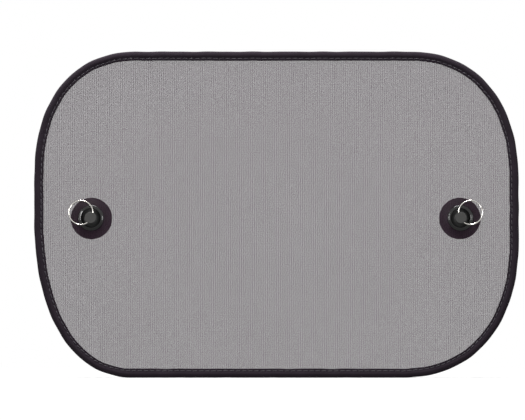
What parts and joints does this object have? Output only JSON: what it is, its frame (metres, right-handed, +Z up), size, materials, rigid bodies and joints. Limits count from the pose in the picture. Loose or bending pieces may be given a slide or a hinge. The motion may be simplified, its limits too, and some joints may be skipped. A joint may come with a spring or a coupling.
{
  "type": "car side window sunshade",
  "caption": "Rounded rectangular mesh sunshade for a car side window, with a sprung hoop in a sewn binding, suction cups and split rings.",
  "frame": {"origin": "the middle of the shade's outline, in the middle plane of the mesh, which is half way between the front of the knobs and the rims of the cups", "axes": "+X to the viewer's right along the shade's width, +Z up, +Y from the viewer in the car towards the window glass"},
  "size_m": [0.4998, 0.0168, 0.3368],
  "materials": {
    "knitted_mesh": "open warp-knitted polyester",
    "binding_tape": "woven polyester tape",
    "spring_steel": "drawn wire",
    "eyelet_plastic": "moulded satin",
    "soft_pvc": "glossy soft vinyl",
    "nickel_steel": "bright nickel plate"
  },
  "bodies": {
    "shade": {"mesh_panel": "knitted_mesh", "edge_binding": "binding_tape", "hoop_wire": "spring_steel", "wire_ferrule": "spring_steel", "left_eyelet": "eyelet_plastic", "right_eyelet": "eyelet_plastic"},
    "left_cup": {"left_suction_cup": "soft_pvc"},
    "right_cup": {"right_suction_cup": "soft_pvc"},
    "left_ring": {"left_split_ring": "nickel_steel"},
    "right_ring": {"right_split_ring": "nickel_steel"}
  },
  "joints": [
    {"name": "left_cup_spin", "type": "hinge", "parent": "shade", "child": "left_cup", "pos_m": [-0.1913, 0, -0.004], "axis": [0, -1, 0], "continuous": true},
    {"name": "right_cup_spin", "type": "hinge", "parent": "shade", "child": "right_cup", "pos_m": [0.1897, 0, -0.004], "axis": [0, -1, 0], "continuous": true},
    {"name": "left_ring_swing", "type": "hinge", "parent": "left_cup", "child": "left_ring", "pos_m": [-0.1913, -0.0038, -0.004], "axis": [0.4787, 0, 0.878], "range_deg": [0, 175]},
    {"name": "right_ring_swing", "type": "hinge", "parent": "right_cup", "child": "right_ring", "pos_m": [0.1897, -0.0038, -0.004], "axis": [0.4787, 0, -0.878], "range_deg": [0, 175]}
  ]
}
